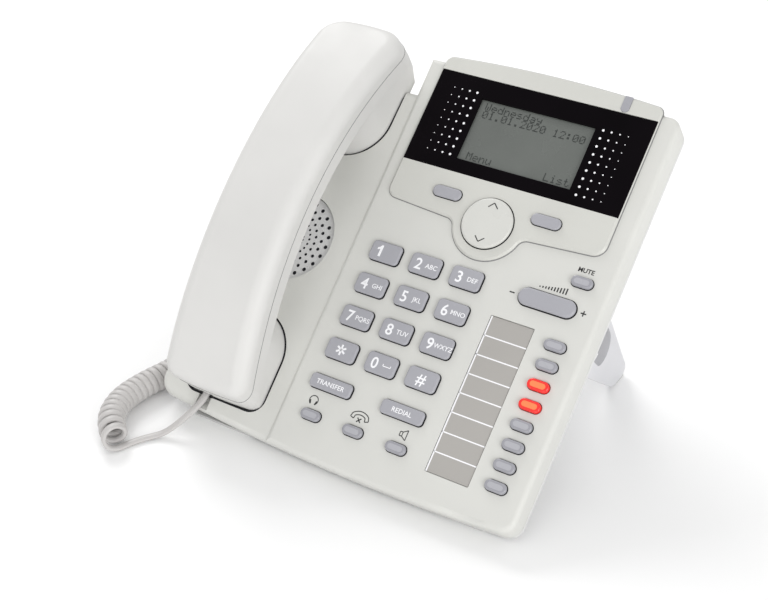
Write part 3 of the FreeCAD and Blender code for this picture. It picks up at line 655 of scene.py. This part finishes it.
def cradle_cup_shading():
    """Near-black bands down the walls of the two cups of the cradle: painted shade, seen round the ear and
    mouth pieces.
    """
    near, far, corner = 0.25, 0.96, 7.0
    top, bottom = -0.12, -1.9      # from the cradle's surface
    ear = [cup_line(gap, 1, 62.5, 77.5, 0) for gap in (near, far)]
    mouth = [cup_line(gap, -1, -66.0, -91.5 - gap, corner + gap) for gap in (near, far)]
    for name, (inner, outer), closed in (("ear", ear, False), ("mouth", mouth, True)):
        vertices, faces = band(inner, outer, bottom, top)
        vertices = [(u, v, cradle_height(u, v) + h) for u, v, h in vertices]
        if not closed:
            count = len(inner)
            faces = [face for k, face in enumerate(faces) if (k + 1) % count]
            faces += [[ring * count + k for ring in range(4)] for k in (0, count - 1)]
        mesh_piece("cradle_gap_shade_" + name, vertices, faces, "gap", "console",
                   smooth=False)


def grille_hole_shade():
    """Black discs just under the grille: painted shade seen in its holes."""
    middle_u, middle_v, grille_top, below = -64.5, -5.2, -3.2, 0.45
    hole_shade_discs = Print(grille_top - below, 0.2)
    for ring in range(5):
        radius = 19.3 - 3.3 * ring
        for k in range(24):
            angle = math.radians(15.0 * (k + 0.5 * (ring % 2)))
            u, v = middle_u + radius * math.cos(angle), middle_v + radius * math.sin(angle)
            hole_shade_discs.dot(u, v, 0.98 - 0.12 * ring)
    hole_shade_discs.piece("grille_hole_shade", "gap", "console", "speaker_paper")


def oval_centres():
    """The clearer middle of each lamp key."""
    for name in OVAL_KEYS:
        u, v = PANEL_KEYS[name][:2]
        middle = Print(KEY_TOP - PRINT_SUNK, 0.08)
        middle.polygon(capsule(u, v, 7.4, 2.6))
        look = "lit_centre" if name in NODE_MATERIALS["lit"] else "oval_centre"
        middle.piece("centre_" + name, look, name, "key_plastic")


dial_print()
panel_print()
oval_centres()
key_gap_shade()
key_side_shade()
cradle_cup_shading()
grille_hole_shade()


# ---------------------------------------------------------------- display

WINDOW = (-24.5, 86.4, 47.5, 96.3)
LCD_VIEW = (1.2, 60.0, 54.4, 86.2)
WINDOW_TOP = 1.4


def framed_plate(outer, inner, low, high):
    """Rectangular plate with a rectangular hole."""
    def ring(box, h):
        u0, u1, v0, v1 = box
        return [(u0, v0, h), (u1, v0, h), (u1, v1, h), (u0, v1, h)]
    bevel = 0.25
    shrunk = (outer[0] + bevel, outer[1] - bevel, outer[2] + bevel, outer[3] - bevel)
    widened = (inner[0] - bevel, inner[1] + bevel, inner[2] - bevel, inner[3] + bevel)
    rings = [ring(outer, low), ring(outer, high - bevel), ring(shrunk, high), ring(widened, high),
             ring(inner, high - bevel), ring(inner, low)]
    vertices = [p for r in rings for p in r]
    faces = []
    for a in range(len(rings)):
        b = (a + 1) % len(rings)
        for k in range(4):
            j = (k + 1) % 4
            faces.append([a * 4 + k, a * 4 + j, b * 4 + j, b * 4 + k])
    return vertices, faces


# Each row of a screen character is five cells wide.
CELLS = {"W": (17, 17, 17, 21, 21, 21, 10), "e": (0, 0, 14, 17, 31, 16, 14), "d": (1, 1, 13, 19, 17, 17, 15),
         "n": (0, 0, 22, 25, 17, 17, 17), "s": (0, 0, 14, 16, 14, 1, 30), "a": (0, 0, 14, 1, 15, 17, 15),
         "y": (0, 0, 17, 17, 15, 1, 14), "0": (14, 17, 19, 21, 25, 17, 14), "1": (4, 12, 4, 4, 4, 4, 14),
         "2": (14, 17, 1, 2, 4, 8, 31), ".": (0, 0, 0, 0, 0, 12, 12), ":": (0, 12, 12, 0, 12, 12, 0),
         "M": (17, 27, 21, 21, 17, 17, 17), "u": (0, 0, 17, 17, 17, 19, 13),
         "L": (16, 16, 16, 16, 16, 16, 31), "i": (4, 0, 12, 4, 4, 4, 14), "t": (8, 8, 28, 8, 8, 9, 6),
         " ": (0,) * 7}
CELL = 0.56
CELL_INK = 0.86            # share of a cell that is dark
CELLS_PER_LETTER = 6


def screen_line(words, line, u, top):
    for k, letter in enumerate(line):
        for row, bits in enumerate(CELLS[letter]):
            for column in range(5):
                if bits >> (4 - column) & 1:
                    a = u + CELL * (column + CELLS_PER_LETTER * k)
                    b = top - CELL * row
                    side = CELL * CELL_INK
                    words.polygon([(a, b - side), (a + side, b - side), (a + side, b), (a, b)])


def label_pieces():
    """Paper strip behind film, with lines between its fields."""
    u0, u1, v0, v1 = 48.9, 70.1, -87.2, -12.0
    middle_v, field, half_line, edge_line = -49.6, 9.4, 0.3, 0.7
    sheet = Print(-0.88, 0.5)
    sheet.polygon([(u0, v0), (u1, v0), (u1, v1), (u0, v1)])
    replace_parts(sheet.piece("label_sheet", "paper", "console", "label_film"), "label_cover")
    lines = Print(-0.38, 0.1)
    for k in range(-3, 4):
        v = middle_v + field * k
        lines.polygon([(u0, v - half_line), (u1, v - half_line), (u1, v + half_line), (u0, v + half_line)])
    lines.polygon([(u0, v0), (u0 + edge_line, v0), (u0 + edge_line, v1), (u0, v1)])
    lines.piece("label_lines", "white_ink", "console", "label_film")


def outer_loop(beside, start):
    """Walks round the outermost of the linked points."""
    loop, here, before = [start], start, None
    heading = Vector((0, 1, 0))
    while len(loop) < 4000:
        options = [p for p in beside[here] if p != before]
        if not options:
            break

        def turn(p):
            way = (Vector(p) - Vector(here)).normalized()
            return math.atan2(heading.x * way.y - heading.y * way.x, heading.dot(way))
        following = min(options, key=turn)
        if following == start:
            break
        heading = (Vector(following) - Vector(here)).normalized()
        loop.append(following)
        before, here = here, following
    return [Vector(p) for p in loop]


def linked_points(node, place):
    """Neighbours of each point of a node's mesh that place() keeps, in the face frame."""
    into_face = FACE.inverted()
    mesh = nodes[node].data
    kept = {}
    for vertex in mesh.vertices:
        found = place(into_face @ vertex.co)
        if found:
            kept[vertex.index] = found
    beside = {}
    for edge in mesh.edges:
        a, b = (kept.get(k) for k in edge.vertices)
        if a and b and a != b:
            beside.setdefault(a, set()).add(b)
            beside.setdefault(b, set()).add(a)
    return beside


def loop_tube(name, loop, radius, material, body):
    """Fine closed tube along a loop of points."""
    sides = 8
    vertices, faces = [], []
    for i, p in enumerate(loop):
        along = (loop[(i + 1) % len(loop)] - loop[i - 1]).normalized()
        across = along.cross(UP).normalized()
        over = across.cross(along)
        for k in range(sides):
            angle = 2 * math.pi * k / sides
            vertices.append(p + across * (radius * math.cos(angle)) + over * (radius * math.sin(angle)))
        for k in range(sides):
            j, following = (k + 1) % sides, (i + 1) % len(loop)
            faces.append([i * sides + k, i * sides + j, following * sides + j, following * sides + k])
    mesh_piece(name, vertices, faces, material, body)


def handset_seam():
    """Fine shadow line where the two halves of the handset meet."""
    arch_v, arch_top, arch_radius, near = 5.0, 35.0, 203.0, 0.02

    def place(p):
        if abs(math.hypot(p.y - arch_v, p.z - arch_top + arch_radius) - arch_radius) < near:
            return round(p.x, 2), round(p.y, 2), round(p.z, 2)
    beside = linked_points("handset_back_shell", place)
    start = max(beside, key=lambda p: (p[0], -abs(p[1])))
    loop_tube("handset_seam", outer_loop(beside, start), 0.17, "seam", "handset")


def hood_joint():
    """Shadow line where the raised hood meets the panel."""
    chamfer_low, line_height, near = 0.7, 0.02, 0.02

    def place(p):
        if abs(p.z - chamfer_low) < near:
            return round(p.x, 2), round(p.y, 2), line_height
    beside = linked_points("display_hood", place)
    ends = [p for p in beside if len(beside[p]) == 1]
    loop_tube("hood_joint", outer_loop(beside, max(ends)), 0.4, "seam", "console")


def display_pieces():
    vertices, faces = framed_plate(WINDOW, LCD_VIEW, 0.05, WINDOW_TOP)
    window = mesh_piece("window_frame", vertices, faces, "window", "console", smooth=False)
    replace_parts(window, "display_window")
    dots = Print(WINDOW_TOP - PRINT_SUNK / 2, 0.03)
    pitch_u, pitch_v, columns = 4.1, 4.14, 4
    sizes = [0.24 + 0.12 * column for column in range(columns)]
    for row in range(9):
        for column in range(columns):
            dots.dot(-14.6 + pitch_u * column, 88.4 - pitch_v * row, sizes[column])
            dots.dot(63.9 + pitch_u * column, 85.8 - pitch_v * row, sizes[-1 - column])
    dots.piece("window_dots", "white_ink", "console", "window_plastic")
    words = Print(-0.22, 0.03)
    for line, u, top in (("Wednesday", 4.0, 85.2), ("01.01.2020 12:00", 4.0, 81.2), ("Menu", 5.2, 59.4),
                         ("List", 45.4, 59.4)):
        screen_line(words, line, u, top)
    words.piece("screen_words", "screen_ink", "console", "lcd_glass")


display_pieces()
label_pieces()
handset_seam()
hood_joint()


# ---------------------------------------------------------------- floor and light

def floor():
    mesh = bpy.data.meshes.new("floor")
    half = 4.0
    corners = [(-half, -half, 0), (half, -half, 0), (half, half, 0), (-half, half, 0)]
    mesh.from_pydata(corners, [], [(0, 1, 2, 3)])
    material, _, _, shader = new_material("pale_floor")
    shader.inputs["Base Color"].default_value = (0.93, 0.93, 0.93, 1)
    shader.inputs["Roughness"].default_value = 0.9
    mesh.materials.append(material)
    plane = bpy.data.objects.new("floor", mesh)
    scene.collection.objects.link(plane)


def area_light(name, place, target, size, power):
    data = bpy.data.lights.new(name, "AREA")
    data.shape = "DISK"
    data.size = size
    data.energy = power
    lamp = bpy.data.objects.new(name, data)
    lamp.location = place
    lamp.rotation_euler = (Vector(target) - Vector(place)).to_track_quat("-Z", "Y").to_euler()
    scene.collection.objects.link(lamp)


LIT_POINT = (0, 0, 0.05)
WORLD_STRENGTH = 0.77


def lighting():
    world = bpy.data.worlds.new("studio")
    world.use_nodes = True
    world.node_tree.nodes["Background"].inputs["Color"].default_value = (1.0, 1.0, 1.0, 1)
    world.node_tree.nodes["Background"].inputs["Strength"].default_value = WORLD_STRENGTH
    scene.world = world
    area_light("key_light", (-1.0, 0.7, 1.1), LIT_POINT, 0.9, 12.0)
    area_light("side_light", (1.4, -0.8, 0.6), LIT_POINT, 1.0, 11.0)
    area_light("front_light", (0.1, -1.5, 0.5), LIT_POINT, 0.8, 3.0)
    scene.view_settings.view_transform = "Standard"


floor()
lighting()
